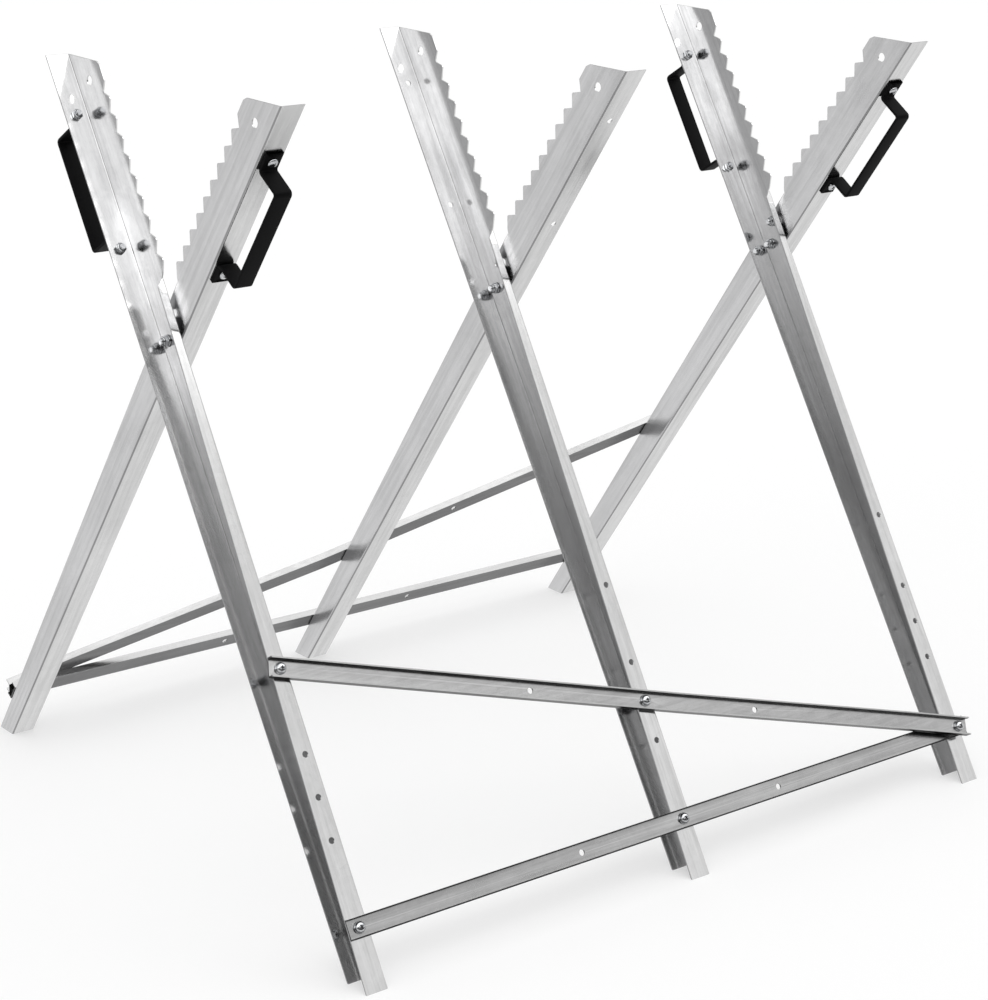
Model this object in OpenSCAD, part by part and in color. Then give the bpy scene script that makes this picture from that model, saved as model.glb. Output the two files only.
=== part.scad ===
// Folding sawhorse for logs: three crossed pairs of toothed sheet-steel legs on three pivot bolts.
// The front panel (three front legs, rail and brace) and the rear panel are the same design,
// turned half a turn about the vertical axis. X runs along the log, -Y is the front, Z is up.

/* [Overall] */
// Height of the arm tops above the floor, opened
height = 787; // [700:1:900]
// Distance between neighbouring crossed frames along the log
frame_pitch = 410; // [330:1:500]
// Height of the pivot bolts above the floor, opened
pivot_height = 535; // [450:1:600]
// Lean of each leg from the vertical, opened
lean = 33.5; // [28:0.5:40]

/* [Legs] */
// Thickness of the leg sheet
sheet = 1.5; // [1:0.1:3]
// Outer radius of the folds
fold_radius = 2.5; // [2:0.1:5]
// Width of the underside flange
flange_w = 26.5; // [22:0.5:34]
// Distance from the pivot axis to the outer face of the underside flange
back_offset = 11.6; // [10:0.1:16]
// Distance from the pivot axis to the tooth tips
tip_offset = 36.8; // [32:0.1:50]
// Distance from the pivot axis to the front face at the foot
foot_offset = 12.8; // [11:0.1:20]
// Distance from the pivot axis to the front face at the top of its fold
neck_offset = 26; // [22:0.1:30]
// Width of the front flap at the top of its fold
flap_top_w = 9; // [7:0.5:14]
// Width of the front flap at the foot
flap_foot_w = 25.5; // [18:0.5:32]

/* [Teeth] */
// Number of teeth on each arm
tooth_count = 9; // [5:1:10]
// Spacing of the teeth along the arm
tooth_pitch = 21.2; // [16:0.1:22]
// Depth of the teeth
tooth_depth = 9.2; // [6:0.1:11]
// Distance along the arm from the pivot axis to the first (highest) tooth tip
first_tip = 240; // [225:1:250]
// Distance along the arm from a tooth tip up to the root above it
tooth_rise = 9.4; // [6:0.1:12]

/* [Holes] */
// Hole near the end of each arm
end_hole_d = 9.5; // [6:0.1:12]
// Distance of the end hole from the pivot axis, along the arm
end_hole_along = 270; // [262:1:280]
// Distance of the end hole from the pivot axis, across the arm
end_hole_across = 11.2; // [5:0.1:16]
// Distance from the pivot axis to the lock hole, straight up when opened
lock_rise = 26.5; // [22:0.1:30]
// Lock hole diameter
lock_hole_d = 8.5; // [6.6:0.1:10]
// Distance from the pivot down to the first bar hole in the front flap
bar_hole_start = 338; // [280:1:360]
// Spacing unit of the bar holes: the five holes are 2, 1, 1 and 2 units apart
bar_hole_unit = 41.8; // [34:0.1:44]

/* [Bars] */
// Height of the rail and brace channel
bar_h = 20; // [16:0.5:26]
// Depth of the channel lips
bar_lip = 8; // [5:0.5:12]
// Thickness of the bar sheet
bar_sheet = 1.5; // [1:0.1:2.5]
// Length of bar beyond its end bolts
bar_overhang = 12; // [10:0.5:20]
// Diameter of the spare holes in the bars
spare_hole_d = 6.5; // [4:0.1:8]

/* [Handles] */
// Width of the handle strip
handle_w = 19; // [14:0.5:21]
// Thickness of the handle strip
handle_t = 3; // [2:0.1:4]
// Spacing of the handle screws
handle_pitch = 142; // [120:1:150]
// Distance from the pivot axis to the middle of the handle, along the arm
handle_centre = 173; // [165:1:180]
// Outer width of the handle bow
handle_span = 122; // [95:1:124]
// Height of the handle bow over the flange
handle_rise = 34; // [28:0.5:45]

/* [Fasteners] */
// Bolt shank diameter
bolt_d = 6; // [5:0.5:6]
// Bolt holes are this much wider than the shank
bolt_clearance = 0.4; // [0.2:0.1:0.8]
// Pivot holes of the rear legs are this much wider than the shank
pivot_clearance = 0.16; // [0.1:0.02:0.2]
// Nut width across flats
nut_af = 10; // [8:0.5:10]
// Nut height
nut_h = 5; // [4:0.1:6]
// Washer outer diameter
washer_d = 12; // [11:0.5:14]
// Washer thickness
washer_t = 1.6; // [1:0.1:2]
// Diameter of the round bolt heads
head_d = 10.5; // [9:0.5:11]
// Height of the round bolt heads
head_h = 3.6; // [3:0.1:5]
// Length of bolt beyond its nut
bolt_tail = 2.5; // [1:0.1:5]

/* [Hidden] */
eps = 0.01;
$fn = 64;
leg_gap = 2 * washer_t;                       // two washers keep the crossed webs apart
frame_x = [-frame_pitch, 0, frame_pitch];
LEFT = 0;
MIDDLE = 1;
RIGHT = 2;
front_side = 1;
rear_side = -1;
tip_round = 1.2;                              // flat cut at each tooth tip
corner_cut = 3;                               // corner cut at the arm's end
hole_d = bolt_d + bolt_clearance;
neck_gap = 4;                                 // from the last tooth root down to the neck
tooth_gap = 3;                                // plain edge above the first tooth ends this far down
bar_stack = 0.1;                              // brace lies this far over the lips of the rail
handle_fold = 2;                              // inner radius of the handle bends
handle_tab_end = 10.5;                        // handle tab beyond its screw
foot_margin = 60;                             // extra length trimmed off by the floor plane
flap_overlap = 2;                             // the flap's fold runs this far onto the web
handle_x = (flange_w + fold_radius) / 2;      // middle of the flange's flat
nut_corners = nut_af / cos(30);
web_stack = 2 * sheet + leg_gap;              // both webs of a crossed pair
hex_head_h = 4;                               // pivot bolt head
brace_landing = 3.5;                          // bar heights from the brace's rise to its last bolt
steel = "silver";
zinc = "gainsboro";
coat = "#1a1a1a";

// distance along a leg at which a point this far across it is at height z
function along_at(z, across) = (z - pivot_height - across * sin(lean)) / cos(lean);

last_root = first_tip - tooth_count * tooth_pitch + tooth_rise;
neck_along = last_root - neck_gap;
foot_along = along_at(0, foot_offset);
face_len = neck_along - foot_along;
taper = atan((neck_offset - foot_offset) / face_len);
face_offset = neck_offset - neck_along * tan(taper);   // front face at the pivot's height

// places along the front face, measured from the pivot's height
neck_q = neck_along / cos(taper);
foot_q = foot_along / cos(taper);
hole_steps = [0, 2, 3, 4, 6];
bar_hole_q = [for (step = hole_steps) -bar_hole_start - step * bar_hole_unit];
function flap_w(q) = flap_top_w + (flap_foot_w - flap_top_w) * (neck_q - q) / (neck_q - foot_q);
// centre of the flap's hole number i, on the frame k
function flap_hole_x(k, i) = frame_x[k] - leg_gap / 2 - flap_w(bar_hole_q[i]) / 2;

FIRST = 0;
THIRD = 2;
FIFTH = 4;
// bolts of one panel: frame, hole, and the height of the bar's face over the flap
brace_seat = bar_lip + bar_stack;
panel_bolts = [
    [LEFT, FIRST, bar_sheet],
    [MIDDLE, THIRD, bar_sheet],
    [LEFT, FIFTH, bar_sheet],
    [MIDDLE, FIFTH, bar_sheet],
    [RIGHT, FIFTH, brace_seat + bar_sheet]
];
rail_x = [flap_hole_x(LEFT, FIFTH), flap_hole_x(RIGHT, FIFTH)];
brace_dx = flap_hole_x(RIGHT, FIFTH) - flap_hole_x(LEFT, FIRST);
brace_dq = bar_hole_q[FIFTH] - bar_hole_q[FIRST];
brace_len = norm([brace_dx, brace_dq]);
brace_turn = atan(brace_dq / brace_dx);
brace_mid = norm([flap_hole_x(MIDDLE, THIRD) - flap_hole_x(LEFT, FIRST),
                  bar_hole_q[THIRD] - bar_hole_q[FIRST]]);

// ---- placing ----

// the rear panel is the front panel turned half a turn
module panel(side) {
    rotate([0, 0, side == front_side ? 0 : 180]) children();
}

// a leg's own frame: Z along the leg from the pivot, +Y to its underside, web back face at X = 0
module on_leg(k) {
    translate([frame_x[k] - leg_gap / 2, 0, pivot_height]) rotate([-lean, 0, 0]) children();
}

// the front face of the panel: Z up along the face, Y = 0 on the face, -Y outwards
module on_face() {
    translate([0, 0, pivot_height]) rotate([-lean, 0, 0])
        translate([0, -face_offset, 0]) rotate([taper, 0, 0]) children();
}

// ---- legs ----

// quarter ring from the -X axis to the -Y axis, centred on the origin
module quarter_ring(outer, inner) {
    intersection() {
        difference() {
            circle(r = outer);
            circle(r = inner);
        }
        translate([-outer, -outer]) square(outer);
    }
}

// one tooth as [along, across] points: the root above it, then its tip with a small flat
function tooth(i) =
    let (tip = first_tip - i * tooth_pitch,
         rise = [tooth_rise, tooth_depth],
         fall = [tooth_rise - tooth_pitch, tooth_depth])
    [
        [tip + tooth_rise, tooth_depth - tip_offset],
        [tip, -tip_offset] + tip_round * rise / norm(rise),
        [tip, -tip_offset] + tip_round * fall / norm(fall)
    ];

// side view of the web as [along, across]; its lower edge lies inside the foot of the front flap's fold
module web_outline() {
    edge_top = neck_offset - fold_radius - flap_overlap / 2;
    edge_foot = edge_top - (face_len + foot_margin) * tan(taper);
    block_end = first_tip + tooth_pitch - tooth_gap;
    teeth = [for (i = [0 : tooth_count - 1]) each tooth(i)];
    polygon(concat(
        [
            [foot_along - foot_margin, back_offset],
            [along_at(height, -back_offset), back_offset],
            [along_at(height, tip_offset - corner_cut), corner_cut - tip_offset],
            [along_at(height, tip_offset) - corner_cut, -tip_offset],
            [block_end, -tip_offset]
        ],
        teeth,
        [
            [last_root, tooth_depth - tip_offset],
            [neck_along, -edge_top],
            [foot_along - foot_margin, -edge_foot]
        ]
    ));
}

// section of the web and the underside flange, folded at the underside
module angle_section() {
    bend = back_offset - fold_radius;
    translate([-sheet, -tip_offset]) square([sheet, tip_offset + bend]);
    translate([-flange_w, back_offset - sheet]) square([flange_w - fold_radius, sheet]);
    translate([-fold_radius, bend]) mirror([1, 0]) mirror([0, 1])
        quarter_ring(fold_radius, fold_radius - sheet);
}

// section of the front flap and its fold, with a short overlap onto the web
module flap_section() {
    translate([-flap_foot_w - 5, 0]) square([flap_foot_w + 5 - fold_radius, sheet]);
    translate([-fold_radius, fold_radius]) mirror([1, 0]) quarter_ring(fold_radius, fold_radius - sheet);
    translate([-sheet, fold_radius]) square([sheet, flap_overlap]);
}

// the front flap, tapered from its foot to its neck, in the frame of the front face
module front_flap() {
    end_slope = 7;
    low = foot_q - foot_margin;
    intersection() {
        translate([0, 0, low]) linear_extrude(neck_q - low) flap_section();
        translate([0, fold_radius + 5, 0]) rotate([90, 0, 0]) linear_extrude(fold_radius + 10)
            polygon([
                [1, neck_q + 1],
                [1, low],
                [-flap_w(low), low],
                [-flap_top_w, neck_q - end_slope],
                [-fold_radius, neck_q]
            ]);
    }
}

module leg_holes() {
    through = 4 * sheet;
    // end hole, lock hole
    translate([-through, -end_hole_across, end_hole_along]) rotate([0, 90, 0])
        cylinder(d = end_hole_d, h = 2 * through);
    translate([-through, -lock_rise * sin(lean), lock_rise * cos(lean)]) rotate([0, 90, 0])
        cylinder(d = lock_hole_d, h = 2 * through);
    // handle holes in the underside flange
    for (end = [-1, 1])
        translate([-handle_x, back_offset + sheet, handle_centre + end * handle_pitch / 2])
            rotate([90, 0, 0]) cylinder(d = hole_d, h = 3 * sheet);
    // bar holes in the front flap
    translate([0, -face_offset, 0]) rotate([taper, 0, 0])
        for (q = bar_hole_q)
            translate([-flap_w(q) / 2, 2 * sheet, q]) rotate([90, 0, 0])
                cylinder(d = hole_d, h = 3 * sheet);
}

// one leg, folded from one strip; pivot_d is its pivot hole
module leg(pivot_d) {
    low = foot_along - foot_margin;
    difference() {
        union() {
            intersection() {
                translate([0, 0, low]) linear_extrude(height - low) angle_section();
                translate([1, 0, 0]) rotate([0, -90, 0]) linear_extrude(flange_w + 2) web_outline();
            }
            translate([0, -face_offset, 0]) rotate([taper, 0, 0]) front_flap();
        }
        leg_holes();
        translate([-4 * sheet, 0, 0]) rotate([0, 90, 0]) cylinder(d = pivot_d, h = 8 * sheet);
        // the foot is cut level with the floor
        rotate([lean, 0, 0]) translate([-2 * flange_w, -height, -pivot_height - height])
            cube([4 * flange_w, 2 * height, height]);
    }
}

module front_leg(k) {
    color(steel) on_leg(k) leg(hole_d);
}

module rear_leg(k) {
    color(steel) panel(rear_side) on_leg(RIGHT - k) leg(bolt_d + pivot_clearance);
}

// ---- bars ----

// a band that follows the path on its outward side
module strip(path, depth) {
    last = len(path) - 1;
    polygon(concat(path, [for (i = [0 : last]) path[last - i] - [0, depth]]));
}

// the channel's two lips, at its top and bottom edges
module channel_lips(path) {
    for (edge = [-1, 1])
        translate([0, 0, edge * (bar_h - bar_sheet) / 2 - bar_sheet / 2])
            linear_extrude(bar_sheet) strip(path, bar_lip);
}

// channel along X whose back follows the path of [along, outwards] points
module channel(path) {
    translate([0, 0, -bar_h / 2]) linear_extrude(bar_h) strip(path, bar_sheet);
    channel_lips(path);
}

module face_hole(along, d) {
    translate([along, eps, 0]) rotate([90, 0, 0]) cylinder(d = d, h = bar_lip + brace_seat + 1);
}

// the spare holes sit a third of the way from the middle bolt to each outer one
function spare_stations(middle, span) = [middle - middle / 3, middle + (span - middle) / 3];

module rail(side) {
    span = rail_x[1] - rail_x[0];
    middle = flap_hole_x(MIDDLE, FIFTH) - rail_x[0];
    color(steel) panel(side) on_face() translate([rail_x[0], 0, bar_hole_q[FIFTH]])
        difference() {
            channel([[-bar_overhang, 0], [span + bar_overhang, 0]]);
            for (along = [0, middle, span]) face_hole(along, hole_d);
            for (along = spare_stations(middle, span)) face_hole(along, spare_hole_d);
        }
}

// the brace lies flat on two flaps, then rises over the lips of the rail to share its last bolt
module brace(side) {
    rise_start = brace_mid + 2 * bar_h;
    rise_end = brace_len - brace_landing * bar_h;
    color(steel) panel(side) on_face()
        translate([flap_hole_x(LEFT, FIRST), 0, bar_hole_q[FIRST]]) rotate([0, -brace_turn, 0])
            difference() {
                channel([[-bar_overhang, 0], [rise_start, 0], [rise_end, -brace_seat],
                         [brace_len + bar_overhang, -brace_seat]]);
                for (along = [0, brace_mid, brace_len]) face_hole(along, hole_d);
                for (along = spare_stations(brace_mid, brace_len)) face_hole(along, spare_hole_d);
            }
}

// ---- handles ----

// half of the bow as [along, rise], from its middle over the post to its tab on the flange
module handle_half() {
    outer = handle_fold + handle_t;
    post = handle_span / 2;
    tab_start = post + handle_fold;
    tab_end = handle_pitch / 2 + handle_tab_end;
    translate([0, handle_rise - handle_t]) square([post - outer, handle_t]);
    translate([post - outer, handle_rise - outer]) mirror([1, 0]) mirror([0, 1])
        quarter_ring(outer, handle_fold);
    translate([post - handle_t, outer]) square([handle_t, handle_rise - 2 * outer]);
    translate([tab_start, outer]) quarter_ring(outer, handle_fold);
    translate([tab_start, 0]) square([tab_end - tab_start, handle_t]);
}

// bow handle in a leg's frame, its tabs flat on the underside flange
module handle_strip() {
    translate([-handle_x, back_offset, handle_centre])
        difference() {
            translate([handle_w / 2, 0, 0]) rotate([0, -90, 0]) linear_extrude(handle_w)
                for (end = [0, 1]) mirror([end, 0]) handle_half();
            for (end = [-1, 1])
                translate([0, 2 * handle_t, end * handle_pitch / 2]) rotate([90, 0, 0])
                    cylinder(d = hole_d, h = 3 * handle_t);
        }
}

module handle(side, k) {
    color(coat) panel(side) on_leg(side == front_side ? k : RIGHT - k) handle_strip();
}

// ---- fasteners: each drawn along +Z, with the clamped face at Z = 0 ----

// round-headed bolt: its head stands on Z = 0 and its shank runs down
module round_bolt(shank) {
    dome_r = (head_d * head_d / 4 + head_h * head_h) / (2 * head_h);
    translate([0, 0, -shank]) cylinder(d = bolt_d, h = shank + eps);
    rotate_extrude()
        intersection() {
            square([head_d / 2, head_h]);
            translate([0, head_h - dome_r]) circle(r = dome_r);
        }
}

module hex_bolt(shank) {
    translate([0, 0, -shank]) cylinder(d = bolt_d, h = shank + eps);
    cylinder(d = nut_corners, h = hex_head_h, $fn = 6);
}

module washer() {
    difference() {
        cylinder(d = washer_d, h = washer_t);
        translate([0, 0, -1]) cylinder(d = hole_d, h = washer_t + 2);
    }
}

module nut() {
    difference() {
        cylinder(d = nut_corners, h = nut_h, $fn = 6);
        translate([0, 0, -1]) cylinder(d = bolt_d, h = nut_h + 2);
    }
}

// in a frame's own space: +Z along -X of the object, Z = 0 on the outer face of the front leg's web
module on_pivot(k, rise) {
    translate([frame_x[k] - leg_gap / 2 - sheet, 0, pivot_height + rise]) rotate([0, -90, 0])
        children();
}

// head inside the rear leg, nut on the front leg
module pivot_bolt(k) {
    shank = web_stack + washer_t + nut_h + bolt_tail;
    color(zinc) on_pivot(k, 0) translate([0, 0, -web_stack]) mirror([0, 0, 1]) hex_bolt(shank);
}

// the lock bolt is backed off, so that it ends short of the rear leg and the frame can fold
module lock_bolt() {
    into_gap = leg_gap / 3;
    color(zinc) on_pivot(RIGHT, lock_rise) translate([0, 0, -sheet - into_gap])
        cylinder(d = bolt_d, h = into_gap + sheet + washer_t + nut_h + bolt_tail);
}

module lock_nut() {
    color(zinc) on_pivot(RIGHT, lock_rise) translate([0, 0, washer_t]) nut();
}

module lock_washer() {
    color(zinc) on_pivot(RIGHT, lock_rise) washer();
}

// places of the bolts on the front face, +Z outwards, Z = 0 on the bar's face
module at_panel_bolts(side) {
    panel(side) on_face()
        for (b = panel_bolts)
            translate([flap_hole_x(b[0], b[1]), -b[2], bar_hole_q[b[1]]]) rotate([90, 0, 0]) {
                $lift = b[2];
                children();
            }
}

// places of the handle screws, +Z outwards, Z = 0 on the handle's tab
module at_handle_screws(side) {
    for (k = [LEFT, RIGHT]) panel(side) on_leg(k)
        for (end = [-1, 1])
            translate([-handle_x, back_offset + handle_t, handle_centre + end * handle_pitch / 2])
                rotate([-90, 0, 0]) children();
}

module bar_bolts(side) {
    color(zinc) at_panel_bolts(side)
        translate([0, 0, washer_t]) round_bolt(washer_t + $lift + sheet + nut_h + bolt_tail);
}

module bar_washers(side) {
    color(zinc) at_panel_bolts(side) washer();
}

module bar_nuts(side) {
    color(zinc) at_panel_bolts(side) translate([0, 0, -$lift - sheet - nut_h]) nut();
}

module handle_screws(side) {
    color(zinc) at_handle_screws(side) round_bolt(handle_t + sheet + nut_h + bolt_tail);
}

module handle_nuts(side) {
    color(zinc) at_handle_screws(side) translate([0, 0, -handle_t - sheet - nut_h]) nut();
}

module pivot_nuts() {
    color(zinc) for (k = [LEFT, MIDDLE, RIGHT]) on_pivot(k, 0) translate([0, 0, washer_t]) nut();
}

module pivot_front_washers() {
    color(zinc) for (k = [LEFT, MIDDLE, RIGHT]) on_pivot(k, 0) washer();
}

// two washers between the crossed webs of each frame, drawn as one stack
module pivot_gap_washers() {
    color(zinc) for (k = [LEFT, MIDDLE, RIGHT]) on_pivot(k, 0)
        for (i = [1, 2]) translate([0, 0, -sheet - i * washer_t]) washer();
}

front_leg(LEFT);  // front_leg_left
front_leg(MIDDLE);  // front_leg_middle
front_leg(RIGHT);  // front_leg_right
rear_leg(LEFT);  // rear_leg_left
rear_leg(MIDDLE);  // rear_leg_middle
rear_leg(RIGHT);  // rear_leg_right
rail(front_side);  // front_rail
brace(front_side);  // front_brace
rail(rear_side);  // rear_rail
brace(rear_side);  // rear_brace
handle(front_side, LEFT);  // front_handle_left
handle(front_side, RIGHT);  // front_handle_right
handle(rear_side, LEFT);  // rear_handle_left
handle(rear_side, RIGHT);  // rear_handle_right
pivot_bolt(LEFT);  // pivot_bolt_left
pivot_bolt(MIDDLE);  // pivot_bolt_middle
pivot_bolt(RIGHT);  // pivot_bolt_right
pivot_nuts();
pivot_front_washers();
pivot_gap_washers();
lock_bolt();
lock_nut();
lock_washer();
bar_bolts(front_side);  // front_bar_bolts
bar_washers(front_side);  // front_bar_washers
bar_nuts(front_side);  // front_bar_nuts
bar_bolts(rear_side);  // rear_bar_bolts
bar_washers(rear_side);  // rear_bar_washers
bar_nuts(rear_side);  // rear_bar_nuts
handle_screws(front_side);  // front_handle_screws
handle_nuts(front_side);  // front_handle_nuts
handle_screws(rear_side);  // rear_handle_screws
handle_nuts(rear_side);  // rear_handle_nuts
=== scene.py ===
import math

import bmesh
import bpy
import numpy as np
from mathutils import Matrix, Vector


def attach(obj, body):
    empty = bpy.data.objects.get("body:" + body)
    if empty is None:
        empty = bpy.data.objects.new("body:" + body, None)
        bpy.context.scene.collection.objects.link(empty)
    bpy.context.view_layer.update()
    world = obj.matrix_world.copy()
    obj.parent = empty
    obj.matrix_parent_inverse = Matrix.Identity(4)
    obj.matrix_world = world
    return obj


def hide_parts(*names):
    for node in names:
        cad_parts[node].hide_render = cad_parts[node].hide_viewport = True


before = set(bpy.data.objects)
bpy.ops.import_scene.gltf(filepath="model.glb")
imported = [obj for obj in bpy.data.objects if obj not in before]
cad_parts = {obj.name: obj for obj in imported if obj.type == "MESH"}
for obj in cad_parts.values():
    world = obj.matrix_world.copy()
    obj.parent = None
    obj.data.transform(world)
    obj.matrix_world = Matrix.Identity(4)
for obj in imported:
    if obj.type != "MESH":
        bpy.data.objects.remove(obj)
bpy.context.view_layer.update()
scene = bpy.context.scene

MM = 0.001
LEAN = math.radians(33.5)          # legs from the vertical
FACE_TILT = math.radians(32.43)    # the flaps, which the bars lie on, from the vertical
PIVOT_HEIGHT = 0.535
SIDES = {"front": 1, "rear": -1}
HALF_TURN = Matrix.Rotation(math.pi, 4, "Z")
LEFT_WAY, RIGHT_WAY = Vector((-1, 0, 0)), Vector((1, 0, 0))
WHITE = (1, 1, 1, 1)
SMOOTH_BELOW = 32                  # degrees; faces that meet at less than this shade as one
SAME_POINT = 1e-6                  # metres; corners closer than this are one corner


def outward(side):
    """The way the flaps and bars of a frame face."""
    return Vector((0, -SIDES[side] * math.cos(FACE_TILT), math.sin(FACE_TILT)))


# ---------------------------------------------------------------- material helpers

class Nodes:
    """A short way to write a node tree."""

    def __init__(self, tree):
        self.tree = tree
        tree.nodes.clear()

    def add(self, kind, inputs=(), **settings):
        node = self.tree.nodes.new(kind)
        for name, value in settings.items():
            setattr(node, name, value)
        for socket, value in dict(inputs).items():
            target = node.inputs[socket]
            if isinstance(value, bpy.types.NodeSocket):
                self.tree.links.new(value, target)
            else:
                target.default_value = value
        return node

    def coords(self, turn=(0, 0, 0), scale=(1, 1, 1)):
        """Object coordinates in metres, turned and scaled."""
        where = self.add("ShaderNodeTexCoord").outputs["Object"]
        turned = self.add("ShaderNodeMapping", {"Vector": where, "Rotation": turn})
        scaled = self.add("ShaderNodeMapping", {"Vector": turned.outputs[0], "Scale": scale})
        return scaled.outputs[0]

    def noise(self, vector, scale, detail, rough, warp=0.0):
        node = self.add("ShaderNodeTexNoise", {
            "Vector": vector, "Scale": scale, "Detail": detail, "Roughness": rough, "Distortion": warp})
        return node.outputs["Fac"]

    def ramp(self, factor, stops):
        """A colour ramp; each stop is (place, grey level or colour)."""
        node = self.add("ShaderNodeValToRGB", {"Fac": factor})
        band = node.color_ramp
        while len(band.elements) < len(stops):
            band.elements.new(0.5)
        for element, (place, level) in zip(band.elements, stops):
            element.position = place
            colour = level if isinstance(level, tuple) else (level, level, level)
            element.color = (*colour, 1)
        return node.outputs["Color"]

    def span(self, value, low, high, to_low, to_high):
        """Takes low..high to to_low..to_high, and holds the end values beyond them."""
        return self.add("ShaderNodeMapRange", {
            "Value": value, "From Min": low, "From Max": high, "To Min": to_low, "To Max": to_high,
        }).outputs["Result"]

    def math(self, what, a, b=0.0):
        return self.add("ShaderNodeMath", {0: a, 1: b}, operation=what).outputs[0]

    def dot(self, vector, direction):
        return self.add("ShaderNodeVectorMath", {0: vector, 1: direction},
                        operation="DOT_PRODUCT").outputs["Value"]

    def mix(self, factor, a, b, blend="MIX"):
        """Mixes two colours. Inputs 6 and 7 and output 2 are the colour sockets of the node."""
        return self.add("ShaderNodeMix", {0: factor, 6: a, 7: b}, data_type="RGBA",
                        blend_type=blend).outputs[2]

    def bump(self, height, strength, distance, under=None):
        inputs = {"Height": height, "Strength": strength, "Distance": distance}
        if under is not None:
            inputs["Normal"] = under
        return self.add("ShaderNodeBump", inputs).outputs["Normal"]


def new_material(name):
    material = bpy.data.materials.new(name)
    material.use_nodes = True
    return material, Nodes(material.node_tree)


def close(nodes, **inputs):
    """Ends a tree in one Principled shader."""
    named = {name.replace("_", " "): value for name, value in inputs.items()}
    shader = nodes.add("ShaderNodeBsdfPrincipled", named)
    nodes.add("ShaderNodeOutputMaterial", {"Surface": shader.outputs[0]})


def grey(level):
    """A grey with a trace of blue."""
    return (level, level, level * 1.01, 1)


def steel(name, turn, light, dark, rough, streak_depth, wave, painted_shades, rim=None):
    """Galvanised sheet: cloudy zinc, rolling streaks along the piece, fine grain, paler edges.

    turn brings the length of the piece onto Z. light and dark are the tones of the clouds, rough
    the roughness, streak_depth the strength of the streaks' relief, wave the height of the sheet's
    slow waves in metres.
    Each painted shade (direction, low, level) darkens the faces that look along direction as painted
    shade: from a dot product of low upwards, it multiplies their tone by level.
    rim (direction, height, level) paints shade the same way on the cut edges beyond height along
    direction.
    """
    shade_fade = 0.06               # dot product over which a painted shade fades in
    rim_edge = 0.2 * MM
    edge_tone = (0.92, 0.92, 0.92, 1)
    material, n = new_material(name)
    along = n.coords(turn, (1, 1, 0.035))
    plain = n.coords(turn)
    stretched = n.coords(turn, (1, 1, 0.35))
    clouds = n.noise(stretched, 26.0, 4.0, 0.6, 0.4)
    cells = n.add("ShaderNodeTexVoronoi", {"Vector": plain, "Scale": 150.0, "Randomness": 1.0},
                  feature="F1").outputs["Color"]
    spangle = n.add("ShaderNodeSeparateColor", {"Color": cells}).outputs[0]
    streaks = n.noise(along, 210.0, 5.0, 0.6)
    broad_streaks = n.noise(along, 45.0, 3.0, 0.5)
    grain = n.noise(plain, 900.0, 3.0, 0.6)
    tone = n.ramp(clouds, [(0.30, dark), (0.50, (light + dark) / 2), (0.68, light)])
    tone = n.mix(0.15, tone, n.ramp(spangle, [(0.0, dark * 0.94), (1.0, min(1.0, light * 1.05))]))
    tone = n.mix(0.42, tone, n.ramp(streaks, [(0.35, 0.66), (0.60, 1.0)]), "MULTIPLY")
    # paler along sharp convex edges
    sharp_edges = n.span(n.add("ShaderNodeNewGeometry").outputs["Pointiness"], 0.52, 0.60, 0, 0.35)
    tone = n.mix(sharp_edges, tone, edge_tone)
    coordinates = n.add("ShaderNodeTexCoord").outputs
    # painted shade: darkens the faces that look along each listed direction
    for direction, low, level in painted_shades:
        toward = n.dot(coordinates["Normal"], direction)
        tone = n.mix(n.span(toward, low, low + shade_fade, 0, 1), tone, grey(level), "MULTIPLY")
    # painted shade: a dark rim on the cut edges of the rails' lips
    if rim is not None:
        direction, height, level = rim
        facing = n.span(n.dot(coordinates["Normal"], direction), 0.60, 0.80, 0, 1)
        beyond = n.span(n.dot(coordinates["Object"], direction), height, height + rim_edge, 0, 1)
        tone = n.mix(n.math("MULTIPLY", facing, beyond), tone, grey(level), "MULTIPLY")
    gloss = n.math("ADD", n.span(clouds, 0.3, 0.7, rough + 0.06, rough - 0.03),
                   n.span(broad_streaks, 0.3, 0.7, -0.025, 0.035))
    gloss = n.math("ADD", gloss, n.span(grain, 0.3, 0.7, -0.015, 0.02))
    waves = n.bump(n.noise(stretched, 9.0, 2.0, 0.4), 1.0, wave)
    brushed = n.bump(streaks, streak_depth, 0.00006, waves)
    pitted = n.bump(grain, 0.04, 0.00005, brushed)
    close(n, Base_Color=tone, Metallic=1.0, Roughness=gloss, Normal=pitted)
    return material


def zinc():
    """Bright zinc plating with a slightly uneven film, its crevices darkened by painted shade."""
    material, n = new_material("zinc_plated")
    plain = n.coords()
    film = n.noise(plain, 260.0, 4.0, 0.6)
    marks = n.noise(plain, 1500.0, 3.0, 0.6)
    tone = n.ramp(film, [(0.30, (0.46, 0.47, 0.49)), (0.70, (0.84, 0.85, 0.86))])
    # painted shade: the tone is darkened where ambient occlusion finds crevices and nearby parts
    crevice_shade = n.add("ShaderNodeAmbientOcclusion", {"Distance": 2.2 * MM}, samples=6).outputs["AO"]
    tone = n.mix(1.0, tone, n.ramp(crevice_shade, [(0.30, 0.02), (0.62, 0.35), (0.90, 1.0)]), "MULTIPLY")
    gloss = n.math("ADD", n.span(film, 0.3, 0.7, 0.10, 0.20), n.span(marks, 0.3, 0.7, -0.03, 0.05))
    close(n, Base_Color=tone, Metallic=1.0, Roughness=gloss, Normal=n.bump(marks, 0.2, 0.00004))
    return material


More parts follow.
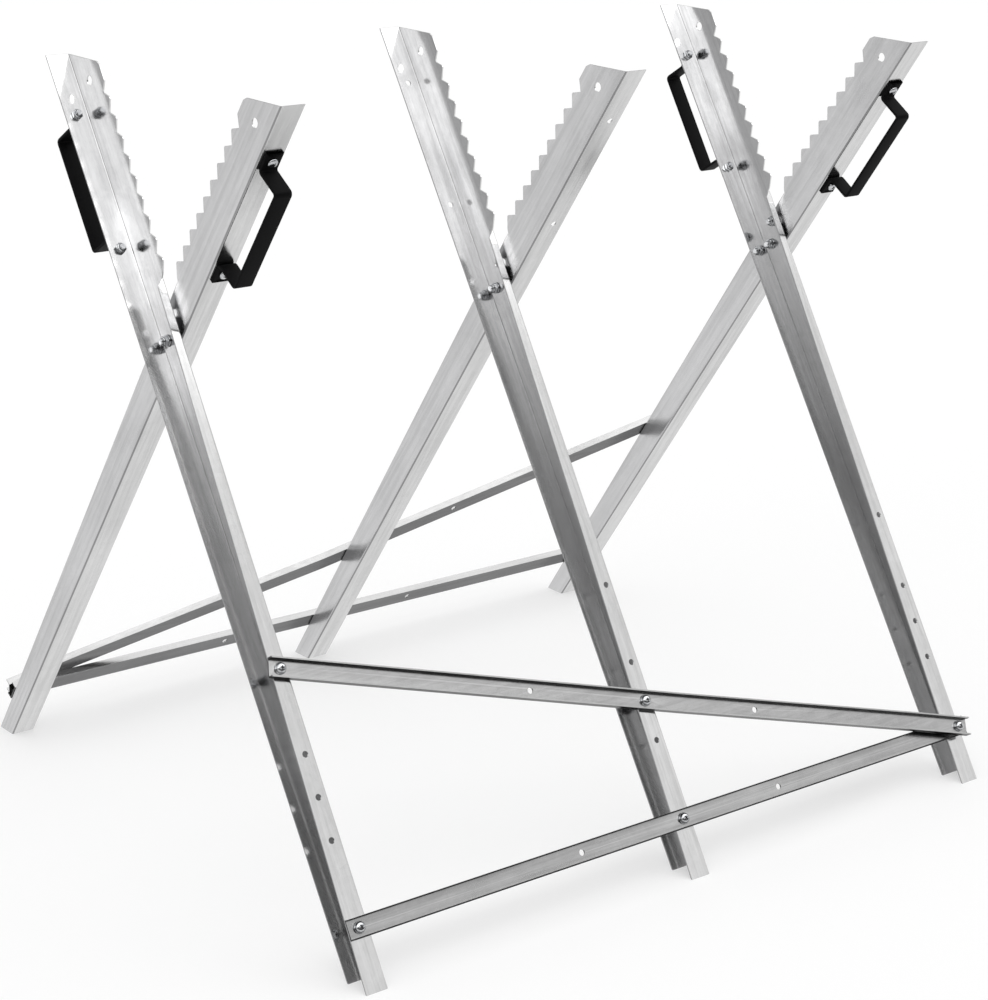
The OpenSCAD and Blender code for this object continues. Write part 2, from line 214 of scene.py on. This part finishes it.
def powder_coat():
    """Black powder coat: orange peel, fine grain and rubbed spots."""
    material, n = new_material("black_powder_coat")
    plain = n.coords()
    peel = n.noise(plain, 700.0, 2.0, 0.5)
    fine = n.noise(plain, 2200.0, 3.0, 0.6)
    rub = n.noise(plain, 38.0, 4.0, 0.6)
    tone = n.ramp(rub, [(0.35, (0.002, 0.002, 0.0022)), (0.75, (0.006, 0.006, 0.0065))])
    gloss = n.math("ADD", n.span(rub, 0.3, 0.7, 0.50, 0.62), n.span(fine, 0.3, 0.7, -0.03, 0.05))
    bumps = n.bump(fine, 0.25, 0.00004, n.bump(peel, 0.5, 0.00012))
    close(n, Base_Color=tone, Metallic=0.0, Roughness=gloss, Normal=bumps,
          Specular_IOR_Level=0.08)
    return material


def nylon():
    """Off-white nylon ring of a lock nut."""
    material, n = new_material("nylon_ring")
    speckle = n.noise(n.coords(), 900.0, 3.0, 0.6)
    tone = n.ramp(speckle, [(0.3, (0.42, 0.45, 0.50)), (0.7, (0.55, 0.58, 0.62))])
    close(n, Base_Color=tone, Metallic=0.0, Roughness=n.span(speckle, 0.3, 0.7, 0.38, 0.52),
          Normal=n.bump(speckle, 0.2, 0.00005))
    return material


# ---------------------------------------------------------------- mesh helpers

def new_piece(name, mesh, body, materials, replaced):
    """A piece that rides on a body and stands for the replaced CAD nodes."""
    piece = bpy.data.objects.new(name, mesh)
    scene.collection.objects.link(piece)
    for material in materials:
        mesh.materials.append(material)
    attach(piece, body)
    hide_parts(*replaced)


def smooth_by_angle(mesh, degrees):
    for face in mesh.polygons:
        face.use_smooth = True
    mesh.set_sharp_from_angle(angle=math.radians(degrees))


ROUND_STEPS = 48                   # sides of a turned piece
SHANK_STEPS = 36                   # sides of a bolt's shank
HEX_STEPS = 72                     # points around a hexagon, a multiple of six


def lathe(bm, profile, steps=ROUND_STEPS, material=0):
    """Turns (radius, height) points about Z into bm; a radius of 0 closes on the axis."""
    rings = []
    for radius, height in profile:
        if radius < 1e-9:
            rings.append([bm.verts.new((0, 0, height))])
            continue
        ring = []
        for i in range(steps):
            a = 2 * math.pi * i / steps
            ring.append(bm.verts.new((radius * math.cos(a), radius * math.sin(a), height)))
        rings.append(ring)
    for low, high in zip(rings, rings[1:]):
        if len(low) == 1 and len(high) == 1:
            continue
        for i in range(steps):
            j = (i + 1) % steps
            if len(low) == 1:
                corners = [low[0], high[j], high[i]]
            elif len(high) == 1:
                corners = [low[i], low[j], high[0]]
            else:
                corners = [low[i], low[j], high[j], high[i]]
            bm.faces.new(corners).material_index = material


def ring_lathe(bm, profile, material=0):
    """As lathe, for a closed section that doesn't reach the axis."""
    lathe(bm, profile + profile[:1], material=material)


def skin(bm, rings, capped=True):
    """Faces between equal rings of corners, one after the other, and over both ends."""
    for lower, upper in zip(rings, rings[1:]):
        for i in range(len(lower)):
            j = (i + 1) % len(lower)
            bm.faces.new([lower[i], lower[j], upper[j], upper[i]])
    if capped:
        bm.faces.new(list(reversed(rings[0])))
        bm.faces.new(rings[-1])


def thread_rows(bm, length):
    """A screw thread from 0 to length along +Z, with a chamfered tip at 0."""
    rows_per_turn = 8
    groove_slope = 2.6             # a groove is 2 / 2.6 of the pitch wide
    tip_height = 1.15 * THREAD_DEPTH
    tip_slope = 0.8
    rows = max(4, int(round(length / THREAD_PITCH * rows_per_turn)))
    rings = []
    for row in range(rows + 1):
        z = length * row / rows
        ring = []
        for i in range(SHANK_STEPS):
            turn = i / SHANK_STEPS
            phase = (z / THREAD_PITCH - turn) % 1.0
            groove = THREAD_DEPTH * max(0.0, 1.0 - abs(phase - 0.5) * groove_slope)
            chamfer = max(0.0, tip_height - z) * tip_slope
            r = BOLT_R - max(groove, chamfer)
            a = 2 * math.pi * turn
            ring.append(bm.verts.new((r * math.cos(a), r * math.sin(a), z)))
        rings.append(ring)
    skin(bm, rings)


def hex_prism(bm, low, high, chamfer_low, bore=0.0):
    """A hexagon whose corners are turned down by a cone at its top, and at its foot on request."""
    half = NUT_AF / 2
    outer = half / math.cos(math.pi / 6)
    slope = math.tan(math.radians(30))
    end_radius = half * 0.985
    layers = 5
    heights = [low]
    if chamfer_low:
        heights += [low + (outer - half) * slope * (k + 1) / layers for k in range(layers)]
    heights += [high - (outer - half) * slope * (layers - k) / layers for k in range(layers)]
    heights.append(high)

    def hex_radius(a):
        step = math.pi / 3
        return half / math.cos((a + step / 2) % step - step / 2)

    rings = []
    for z in heights:
        limit = min(outer, end_radius + (high - z) / slope)
        if chamfer_low:
            limit = min(limit, end_radius + (z - low) / slope)
        ring = []
        for i in range(HEX_STEPS):
            a = 2 * math.pi * i / HEX_STEPS
            r = min(hex_radius(a), limit)
            ring.append(bm.verts.new((r * math.cos(a), r * math.sin(a), z)))
        rings.append(ring)
    skin(bm, rings, capped=bore == 0)
    if bore == 0:
        return
    inner = []
    for z in (low, high):
        angles = [2 * math.pi * i / HEX_STEPS for i in range(HEX_STEPS)]
        inner.append([bm.verts.new((bore * math.cos(a), bore * math.sin(a), z)) for a in angles])
    for i in range(HEX_STEPS):
        j = (i + 1) % HEX_STEPS
        bm.faces.new([rings[0][j], rings[0][i], inner[0][i], inner[0][j]])
        bm.faces.new([rings[-1][i], rings[-1][j], inner[1][j], inner[1][i]])
        bm.faces.new([inner[0][i], inner[1][i], inner[1][j], inner[0][j]])


def as_mesh(name, bm, smooth=SMOOTH_BELOW):
    bmesh.ops.recalc_face_normals(bm, faces=bm.faces)
    mesh = bpy.data.meshes.new(name)
    bm.to_mesh(mesh)
    bm.free()
    smooth_by_angle(mesh, smooth)
    return mesh


def cut(mesh, cutter):
    """mesh minus cutter, both plain meshes."""
    body = bpy.data.objects.new("cut_body", mesh)
    tool = bpy.data.objects.new("cut_tool", cutter)
    for o in (body, tool):
        scene.collection.objects.link(o)
    step = body.modifiers.new("cut", "BOOLEAN")
    step.operation = "DIFFERENCE"
    step.solver = "EXACT"
    step.object = tool
    bpy.context.view_layer.update()
    graph = bpy.context.evaluated_depsgraph_get()
    result = bpy.data.meshes.new_from_object(body.evaluated_get(graph))
    for o in (body, tool):
        bpy.data.objects.remove(o)
    return result


def joined(name, placed):
    """One mesh from (template, placing matrix) pairs."""
    bm = bmesh.new()
    for template, place in placed:
        one = template.copy()
        one.transform(place)
        bm.from_mesh(one)
        bpy.data.meshes.remove(one)
    mesh = bpy.data.meshes.new(name)
    bm.to_mesh(mesh)
    bm.free()
    return mesh


def islands(node):
    """The separate solids of a CAD node, each as an array of points."""
    bm = bmesh.new()
    bm.from_mesh(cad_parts[node].data)
    bmesh.ops.remove_doubles(bm, verts=bm.verts, dist=SAME_POINT)
    left = set(bm.verts)
    found = []
    while left:
        group, queue = [], [min(left, key=lambda v: v.index)]
        left.discard(queue[0])
        while queue:
            v = queue.pop()
            group.append(v.co[:])
            for edge in v.link_edges:
                other = edge.other_vert(v)
                if other in left:
                    left.discard(other)
                    queue.append(other)
        found.append(np.array(group))
    bm.free()
    return sorted(found, key=lambda g: tuple(np.round(g.mean(0), 4)))


def stations(node, axis, spin):
    """(placing matrix, length), one per solid: +Z along axis, the origin at its lowest end along it.

    spin turns the first one about its axis, and each next one is turned on by TURN_APART.
    """
    axis = axis.normalized()
    across = axis.orthogonal() if abs(axis.x) > 0.9 else RIGHT_WAY
    side = (across - axis * across.dot(axis)).normalized()
    third = axis.cross(side)
    turn = Matrix((side, third, axis)).transposed().to_4x4()
    placed = []
    for i, points in enumerate(islands(node)):
        along = points @ np.array(axis)
        flat = [points @ np.array(d) for d in (side, third)]
        centre = side * float(flat[0].max() + flat[0].min()) / 2
        centre += third * float(flat[1].max() + flat[1].min()) / 2
        origin = centre + axis * float(along.min())
        own = Matrix.Rotation(spin + TURN_APART * i, 4, "Z")
        placed.append((Matrix.Translation(origin) @ turn @ own, float(along.max() - along.min())))
    return placed


# ---------------------------------------------------------------- materials

def between(a, b):
    return (Vector(a).normalized() + Vector(b).normalized()).normalized()


front_over = Vector((0, -math.cos(LEAN), math.sin(LEAN)))
rear_under = Vector((0, -math.cos(LEAN), -math.sin(LEAN)))
# One copy of the galvanised steel per frame, shaded its own way: the faces that look to the sides and
# the folds beside them are darkened as painted shade, more on the front legs than on the rear ones.
leg_steels = {
    "front": steel(
        "galvanised_front_legs", (LEAN, 0, 0), light=0.92, dark=0.74, rough=0.13,
        streak_depth=0.12, wave=1.0 * MM,
        painted_shades=[(LEFT_WAY, 0.88, 0.51), (RIGHT_WAY, 0.88, 0.60),
               (between(LEFT_WAY, front_over), 0.90, 0.32)]),
    "rear": steel(
        "galvanised_rear_legs", (-LEAN, 0, 0), light=0.88, dark=0.78, rough=0.20,
        streak_depth=0.08, wave=0.6 * MM,
        painted_shades=[(LEFT_WAY, 0.88, 0.90), (between(LEFT_WAY, rear_under), 0.90, 0.45)]),
}
RIM_DEPTH = 1.0 * MM               # how far down the lip of a rail its dark rim of painted shade reaches
# The bars' steel is darker all over than the legs', as painted shade; their backs, the undersides of
# their lips and their left ends are darkened further as painted shade.
bar_steels = {}
for side, sign in SIDES.items():
    out = outward(side)
    down_face = Vector((0, -sign * math.sin(FACE_TILT), -math.cos(FACE_TILT)))
    for bar in ("rail", "brace"):
        node = f"{side}_{bar}"
        lip_top = max(out.dot(v.co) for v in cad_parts[node].data.vertices)
        bar_steels[node] = steel(
            "galvanised_" + node, (0, math.radians(90), 0), light=0.64, dark=0.52, rough=0.20,
            streak_depth=0.2, wave=0.5 * MM,
            painted_shades=[(-out, 0.80, 0.38), (down_face, 0.80, 0.05), (LEFT_WAY, 0.85, 0.12)],
            rim=(out, lip_top - RIM_DEPTH, 0.08) if bar == "rail" else None)
fastener_zinc = zinc()
handle_black = powder_coat()
lock_ring = nylon()


# ---------------------------------------------------------------- sheet parts: softened CAD nodes

EDGE_ROLL = 0.25 * MM              # how far a punched edge is rolled over


def smooth_group():
    """Geometry nodes that shade a mesh smooth, except across its sharp edges."""
    group = bpy.data.node_groups.new("smooth_sheet", "GeometryNodeTree")
    group.interface.new_socket("Geometry", in_out="INPUT", socket_type="NodeSocketGeometry")
    group.interface.new_socket("Geometry", in_out="OUTPUT", socket_type="NodeSocketGeometry")
    n = Nodes(group)
    mesh_in = n.add("NodeGroupInput").outputs[0]
    faces = n.add("GeometryNodeSetShadeSmooth", {"Geometry": mesh_in, "Shade Smooth": True},
                  domain="FACE")
    angle = n.add("GeometryNodeInputMeshEdgeAngle").outputs["Unsigned Angle"]
    sharp = n.add("FunctionNodeCompare", {0: angle, 1: math.radians(SMOOTH_BELOW)},
                  data_type="FLOAT", operation="GREATER_THAN").outputs[0]
    edges = n.add("GeometryNodeSetShadeSmooth",
                  {"Geometry": faces.outputs[0], "Selection": sharp, "Shade Smooth": False},
                  domain="EDGE")
    n.add("NodeGroupOutput", {0: edges.outputs[0]})
    return group


sheet_smoothing = smooth_group()


def soften(node):
    """Joins the split corners of a CAD node and rolls its edges slightly, as on punched sheet."""
    weld = node.modifiers.new("weld", "WELD")
    weld.merge_threshold = SAME_POINT
    flat = node.modifiers.new("flat", "DECIMATE")
    flat.decimate_type = "DISSOLVE"
    flat.angle_limit = math.radians(0.6)
    smooth = node.modifiers.new("smooth", "NODES")
    smooth.node_group = sheet_smoothing
    edge = node.modifiers.new("edge", "BEVEL")
    edge.width = EDGE_ROLL
    edge.segments = 2
    edge.limit_method = "ANGLE"
    edge.angle_limit = math.radians(40)
    edge.harden_normals = True


for name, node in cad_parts.items():
    if "_leg_" in name:
        metal = leg_steels[name.split("_")[0]]
    elif name in bar_steels:
        metal = bar_steels[name]
    else:
        continue
    soften(node)
    node.data.materials.clear()
    node.data.materials.append(metal)


# ---------------------------------------------------------------- fasteners

TURN_APART = 0.9                   # radians from one fastener of a node to its next
OVERLAP = 0.05 * MM                # how far a shank runs into its head
BOLT_R = 3.0 * MM
THREAD_PITCH = 1.0 * MM
THREAD_DEPTH = 0.45 * MM
THREADED = 9.0 * MM
HEAD_R = 5.25 * MM
HEAD_H = 3.6 * MM
HEX_HEAD_H = 4.0 * MM
NUT_AF = 10.0 * MM
NUT_H = 5.0 * MM
WASHER_R = 6.0 * MM
WASHER_HOLE = 3.2 * MM
WASHER_T = 1.6 * MM
WASHER_CHAMFER = 0.2 * MM
RECESS_DEPTH = 1.9 * MM
RECESS_REACH = 2.2 * MM
RECESS_HALF_WIDTH = 0.62 * MM


def shank(bm, length):
    """Shank from 0 to length along +Z, threaded at its lower end."""
    threaded = min(THREADED, length - 0.5 * MM)
    thread_rows(bm, threaded)
    plain_r = BOLT_R * 0.985
    start = threaded - 0.1 * MM
    lathe(bm, [(0, start), (plain_r, start), (plain_r, length), (0, length)], SHANK_STEPS)


def recess_cutter(top):
    """Tapered cross for a screwdriver, as one plus-shaped prism, for a head that ends at top."""
    plus = [(1, 1, 1, 0), (1, 1, 0, 1), (-1, 1, 0, 1), (-1, 1, 1, 0),
            (-1, -1, 1, 0), (-1, -1, 0, 1), (1, -1, 0, 1), (1, -1, 1, 0)]
    outline = []
    for i, (sx, sy, far_x, far_y) in enumerate(plus):
        outline.append((sx, sy, far_x, far_y))
        if i % 2 == 0:
            outline.append((sx, sy, 0, 0))
    bm = bmesh.new()
    layers = []
    for z, long_part, wide_part in ((top - RECESS_DEPTH, 0.45, 0.8), (top + 1.0 * MM, 1.35, 1.15)):
        far, near = RECESS_REACH * long_part, RECESS_HALF_WIDTH * wide_part
        layers.append([bm.verts.new((sx * (far if far_x else near), sy * (far if far_y else near), z))
                       for sx, sy, far_x, far_y in outline])
    skin(bm, layers)
    return as_mesh("recess", bm)


def pan_head(length):
    """Pan-head screw, its tip at 0 and its head above length - HEAD_H."""
    seat = length - HEAD_H
    side_h = 0.9 * MM              # height of the head's side, below its dome
    fullness = 0.72                # 1 would make the dome an ellipse; less is fuller
    dome_steps = 9
    profile = [(0, seat), (HEAD_R * 0.95, seat), (HEAD_R, seat + 0.25 * MM)]
    for k in range(1, dome_steps + 1):
        a = math.pi / 2 * k / dome_steps
        profile.append((HEAD_R * math.cos(a) ** fullness if k < dome_steps else 0,
                        seat + side_h + (HEAD_H - side_h) * math.sin(a)))
    head = bmesh.new()
    lathe(head, profile)
    mesh = cut(as_mesh("head", head), recess_cutter(length))
    bm = bmesh.new()
    bm.from_mesh(mesh)
    shank(bm, seat + OVERLAP)
    return as_mesh("pan_head_screw", bm)


def hex_head(length):
    """Hexagon-head bolt, its tip at 0, with a washer face under the head."""
    seat = length - HEX_HEAD_H
    face_r, face_top = NUT_AF * 0.475, seat + 0.4 * MM
    bm = bmesh.new()
    shank(bm, seat + OVERLAP)
    lathe(bm, [(0, seat), (face_r, seat), (face_r, face_top), (0, face_top)])
    hex_prism(bm, seat + 0.35 * MM, length, chamfer_low=False)
    return as_mesh("hex_bolt", bm)


def stud(length):
    """A bolt threaded along its whole length, with no head."""
    bm = bmesh.new()
    thread_rows(bm, length)
    return as_mesh("stud", bm)


def washer():
    bm = bmesh.new()
    c = WASHER_CHAMFER
    ring_lathe(bm, [(WASHER_HOLE, c), (WASHER_HOLE + c, 0), (WASHER_R - c, 0), (WASHER_R, c),
                    (WASHER_R, WASHER_T - c), (WASHER_R - c, WASHER_T), (WASHER_HOLE + c, WASHER_T),
                    (WASHER_HOLE, WASHER_T - c)])
    return as_mesh("washer", bm)


def washer_pair():
    """Two washers, one on the other."""
    one = washer()
    return joined("washer_pair", [(one, Matrix.Translation((0, 0, lift))) for lift in (0, WASHER_T)])


def lock_nut():
    """Hexagon nut with its plastic locking ring in a turned collar at the top."""
    body_h = NUT_H * 0.66
    thread_r = BOLT_R * 0.99
    bm = bmesh.new()
    hex_prism(bm, 0.0, body_h, chamfer_low=True, bore=thread_r)
    r_out, r_in = NUT_AF * 0.445, NUT_AF * 0.37
    ring_lathe(bm, [(r_in, body_h - 0.3 * MM), (r_out, body_h - 0.3 * MM), (r_out, NUT_H - 0.55 * MM),
                    (r_out - 0.25 * MM, NUT_H - 0.1 * MM), (r_in + 0.1 * MM, NUT_H),
                    (r_in - 0.2 * MM, NUT_H - 0.25 * MM)])
    ring_lathe(bm, [(thread_r, body_h - 0.2 * MM), (r_in - 0.05 * MM, body_h - 0.2 * MM),
                    (r_in - 0.05 * MM, NUT_H - 0.35 * MM), (BOLT_R * 1.05, NUT_H - 0.35 * MM)],
               material=1)
    return as_mesh("lock_nut", bm)


def place_all(node, body, axis, template_for, spin=0.0):
    """Replaces a CAD node's solids with detailed copies; template_for(length) makes each one."""
    made = {}
    placed = []
    for place, length in stations(node, axis, spin):
        key = round(length, 5)
        if key not in made:
            made[key] = template_for(length)
        placed.append((made[key], place))
    mesh = joined(node + "_detail", placed)
    smooth_by_angle(mesh, SMOOTH_BELOW)
    new_piece(node + "_detail", mesh, body, [fastener_zinc, lock_ring], [node])


# axis: from a fastener's tip to its head, or from a nut's seat to its collar
for side, sign in SIDES.items():
    body = side + "_frame"
    out = outward(side)
    under = Vector((0, sign * math.cos(LEAN), -math.sin(LEAN)))
    place_all(side + "_bar_bolts", body, out, pan_head, 0.4)
    place_all(side + "_bar_washers", body, out, lambda length: washer())
    place_all(side + "_bar_nuts", body, -out, lambda length: lock_nut(), 0.3)
    place_all(side + "_handle_screws", body, under, pan_head, 0.9)
    place_all(side + "_handle_nuts", body, -under, lambda length: lock_nut(), 0.2)
for name in ("left", "middle", "right"):
    place_all("pivot_bolt_" + name, "front_frame", RIGHT_WAY, hex_head, 0.2)
place_all("pivot_nuts", "front_frame", -RIGHT_WAY, lambda length: lock_nut(), 0.5)
place_all("pivot_front_washers", "front_frame", RIGHT_WAY, lambda length: washer())
place_all("lock_bolt", "front_frame", RIGHT_WAY, stud)
place_all("lock_nut", "front_frame", -RIGHT_WAY, lambda length: lock_nut(), 0.1)
place_all("lock_washer", "front_frame", RIGHT_WAY, lambda length: washer())
place_all("pivot_gap_washers", "front_frame", RIGHT_WAY, lambda length: washer_pair())


# ---------------------------------------------------------------- handles

HANDLE_W = 19.0 * MM
HANDLE_T = 3.0 * MM
HANDLE_PITCH = 142.0 * MM          # from screw to screw
HANDLE_SPAN = 122.0 * MM           # between the outer faces of the posts
HANDLE_RISE = 34.0 * MM
HANDLE_FOLD = 2.0 * MM             # inner radius of the bends
HANDLE_TAB_END = 10.5 * MM         # from a screw to the end of its tab
HANDLE_HOLE_R = 3.2 * MM
HANDLE_CENTRE = 173.0 * MM         # along the arm, from the pivot
HANDLE_X = 14.5 * MM               # from the face of the web to the handle's middle
TAB_ROUND = 4.0 * MM
TAB_FLAT = 6.0 * MM                # straight part of a tab after its rounded corners
EDGE_ROUND = 0.7 * MM
HANDLE_SMOOTH = 40                 # degrees, as SMOOTH_BELOW
QUARTER_STEPS = 8                  # pieces of a quarter bend
CORNER_STEPS = 4                   # pieces of a rounded edge
BACK_OFFSET = 11.6 * MM            # from the pivot's axis to the underside of the leg
LEG_GAP = 3.2 * MM                 # between the webs of a front leg and its rear leg
FRAME_PITCH = 410.0 * MM           # from one pair of legs to the next


def handle_path():
    """Middle line of the strip, tab end to tab end, as (along, rise, direction, half width)."""
    mid = HANDLE_T / 2
    bend = HANDLE_FOLD + mid
    post = HANDLE_SPAN / 2 - mid
    end = HANDLE_PITCH / 2 + HANDLE_TAB_END
    quarter = [math.pi / 2 * k / QUARTER_STEPS for k in range(QUARTER_STEPS + 1)]
    half = [(end - TAB_ROUND * (1 - math.sin(a)), mid, math.pi,
             HANDLE_W / 2 - TAB_ROUND * (1 - math.cos(math.pi / 2 - a))) for a in quarter]
    half.append((end - TAB_ROUND - TAB_FLAT, mid, math.pi, HANDLE_W / 2))
    half += [(post + bend - bend * math.sin(a), mid + bend * (1 - math.cos(a)),
              math.pi - a, HANDLE_W / 2) for a in quarter]
    half += [(post - bend * (1 - math.cos(a)), HANDLE_RISE - mid - bend * (1 - math.sin(a)),
              math.pi / 2 + a, HANDLE_W / 2) for a in quarter]
    other = [(-x, z, -d, w) for x, z, d, w in reversed(half)]
    return half + other


def handle_mesh():
    """Bent strip with rounded edges and tab corners, in (across, along, rise)."""
    bm = bmesh.new()
    rings = []
    for along, rise, heading, half_w in handle_path():
        normal = (-math.sin(heading), math.cos(heading))
        ring = []
        for cx, cy, start in ((1, 1, 0), (-1, 1, 90), (-1, -1, 180), (1, -1, 270)):
            for k in range(CORNER_STEPS + 1):
                a = math.radians(start + 90 * k / CORNER_STEPS)
                x = cx * (half_w - EDGE_ROUND) + EDGE_ROUND * math.cos(a)
                y = cy * (HANDLE_T / 2 - EDGE_ROUND) + EDGE_ROUND * math.sin(a)
                ring.append(bm.verts.new((x, along + normal[0] * y, rise + normal[1] * y)))
        rings.append(ring)
    skin(bm, rings)
    mesh = as_mesh("handle", bm, HANDLE_SMOOTH)
    for end in (-1, 1):
        tool = bmesh.new()
        bmesh.ops.create_cone(tool, cap_ends=True, segments=32, depth=12 * MM,
                              radius1=HANDLE_HOLE_R, radius2=HANDLE_HOLE_R)
        tool.transform(Matrix.Translation((0, end * HANDLE_PITCH / 2, HANDLE_T / 2)))
        mesh = cut(mesh, as_mesh("hole", tool))
    return mesh


def leg_frame(side, way):
    """Matrix from an outer leg's own space (outward across, underside, along) to the row frame.

    way is -1 for the leg on the left, 1 for the one on the right.
    """
    across = way * SIDES[side] * FRAME_PITCH - LEG_GAP / 2
    base = Matrix.Translation((across, 0, PIVOT_HEIGHT)) @ Matrix.Rotation(-LEAN, 4, "X")
    return base if side == "front" else HALF_TURN @ base


handle = handle_mesh()
to_leg = Matrix((
    (1, 0, 0, -HANDLE_X), (0, 0, 1, BACK_OFFSET), (0, 1, 0, HANDLE_CENTRE), (0, 0, 0, 1)))
for side in SIDES:
    for name, way in (("left", -1), ("right", 1)):
        node = f"{side}_handle_{name}"
        mesh = handle.copy()
        mesh.transform(leg_frame(side, way) @ to_leg)
        mesh.update()
        smooth_by_angle(mesh, HANDLE_SMOOTH)
        new_piece(node + "_bow", mesh, side + "_frame", [handle_black], [node])


# ---------------------------------------------------------------- floor, light and camera

FLOOR_HALF = 9.0
FLOOR_GREY = (0.52, 0.52, 0.52, 1)
FLOOR_GLOW = 0.44
FLOOR_IN_METAL = 0.77              # how bright the floor looks in the zinc
ROOM_STRENGTH = 2.0
CAMERA_PLACE = (-1.69638, -2.02565, 1.16238)
CAMERA_AZIMUTH, CAMERA_ELEVATION, CAMERA_ROLL = -0.66141, 0.32182, 0.0237      # radians
CAMERA_SENSOR, CAMERA_LENS = 36, 91.92                                         # millimetres
CAMERA_SHIFT = (0.090, 0.012)
CAMERA_REACH = 60


def make_floor():
    """A pale matt floor that glows a little; the zinc mirrors it as one even tone."""
    bm = bmesh.new()
    corners = [bm.verts.new((x * FLOOR_HALF, y * FLOOR_HALF, 0))
               for x, y in ((-1, -1), (1, -1), (1, 1), (-1, 1))]
    bm.faces.new(corners)
    mesh = bpy.data.meshes.new("floor")
    bm.to_mesh(mesh)
    bm.free()
    floor = bpy.data.objects.new("floor", mesh)
    scene.collection.objects.link(floor)
    material, n = new_material("pale_floor")
    rays = n.add("ShaderNodeLightPath").outputs
    matt = n.add("ShaderNodeBsdfDiffuse", {"Color": FLOOR_GREY})
    glow = n.add("ShaderNodeEmission", {"Color": WHITE, "Strength": FLOOR_GLOW})
    seen = n.add("ShaderNodeAddShader", {0: matt.outputs[0], 1: glow.outputs[0]})
    in_metal = n.add("ShaderNodeEmission", {"Color": WHITE, "Strength": FLOOR_IN_METAL})
    both = n.add("ShaderNodeMixShader",
                 {0: rays["Is Glossy Ray"], 1: seen.outputs[0], 2: in_metal.outputs[0]})
    n.add("ShaderNodeOutputMaterial", {"Surface": both.outputs[0]})
    mesh.materials.append(material)


def make_world():
    """The light: a room dark near the floor, with a bright band higher up, white to the camera.

    In front, its levels run along the line of the front legs.
    """
    world = bpy.data.worlds.new("studio")
    scene.world = world
    world.use_nodes = True
    n = Nodes(world.node_tree)
    where = n.add("ShaderNodeTexCoord").outputs["Generated"]
    parts = n.add("ShaderNodeSeparateXYZ", {"Vector": where}).outputs
    along_leg = n.dot(where, (0, math.sin(LEAN), math.cos(LEAN)))
    # in front and to the left: dark below the band, white above it
    left = n.ramp(n.span(along_leg, -0.5, 1, 0, 1), [
        (0.00, 0.02), (0.30, 0.05), (0.36, 0.13), (0.44, 0.31), (0.475, 0.48), (0.50, 1.5), (0.53, 1.5),
        (0.575, 0.85), (1.00, 0.80)])
    # in front and to the right: black near the floor, then an even grey, white above
    right = n.ramp(n.span(along_leg, -0.5, 1, 0, 1), [
        (0.00, 0.01), (0.20, 0.02), (0.27, 0.37), (0.31, 0.40), (0.46, 0.36), (0.50, 1.3), (0.56, 1.0),
        (1.00, 0.9)])
    # behind: grey, lighter upwards
    back = n.ramp(n.span(parts["Z"], 0, 1, 0, 1), [
        (0.00, 0.20), (0.40, 0.26), (0.72, 0.50), (1.00, 0.58)])
    to_right = n.span(parts["X"], -0.12, 0.12, 0, 1)
    to_front = n.span(parts["Y"], 0.0, -0.25, 0, 1)
    tone = n.mix(to_front, back, n.mix(to_right, left, right))
    room = n.add("ShaderNodeBackground", {"Color": tone, "Strength": ROOM_STRENGTH})
    white = n.add("ShaderNodeBackground", {"Color": WHITE, "Strength": 1.0})
    rays = n.add("ShaderNodeLightPath").outputs
    both = n.add("ShaderNodeMixShader",
                 {0: rays["Is Camera Ray"], 1: room.outputs[0], 2: white.outputs[0]})
    n.add("ShaderNodeOutputWorld", {"Surface": both.outputs[0]})


def make_camera():
    data = bpy.data.cameras.new("camera")
    camera = bpy.data.objects.new("camera", data)
    scene.collection.objects.link(camera)
    scene.camera = camera
    azimuth, elevation, roll = CAMERA_AZIMUTH, CAMERA_ELEVATION, CAMERA_ROLL
    back = Vector((math.sin(azimuth) * math.cos(elevation), -math.cos(azimuth) * math.cos(elevation),
                   math.sin(elevation)))
    right = Vector((math.cos(azimuth), math.sin(azimuth), 0))
    up = back.cross(right)
    x_axis = right * math.cos(roll) + up * math.sin(roll)
    y_axis = up * math.cos(roll) - right * math.sin(roll)
    turn = Matrix((x_axis, y_axis, back)).transposed().to_4x4()
    camera.matrix_world = Matrix.Translation(CAMERA_PLACE) @ turn
    data.sensor_width = CAMERA_SENSOR
    data.lens = CAMERA_LENS
    data.shift_x, data.shift_y = CAMERA_SHIFT
    data.clip_end = CAMERA_REACH


make_floor()
make_world()
make_camera()
scene.view_settings.view_transform = "Standard"
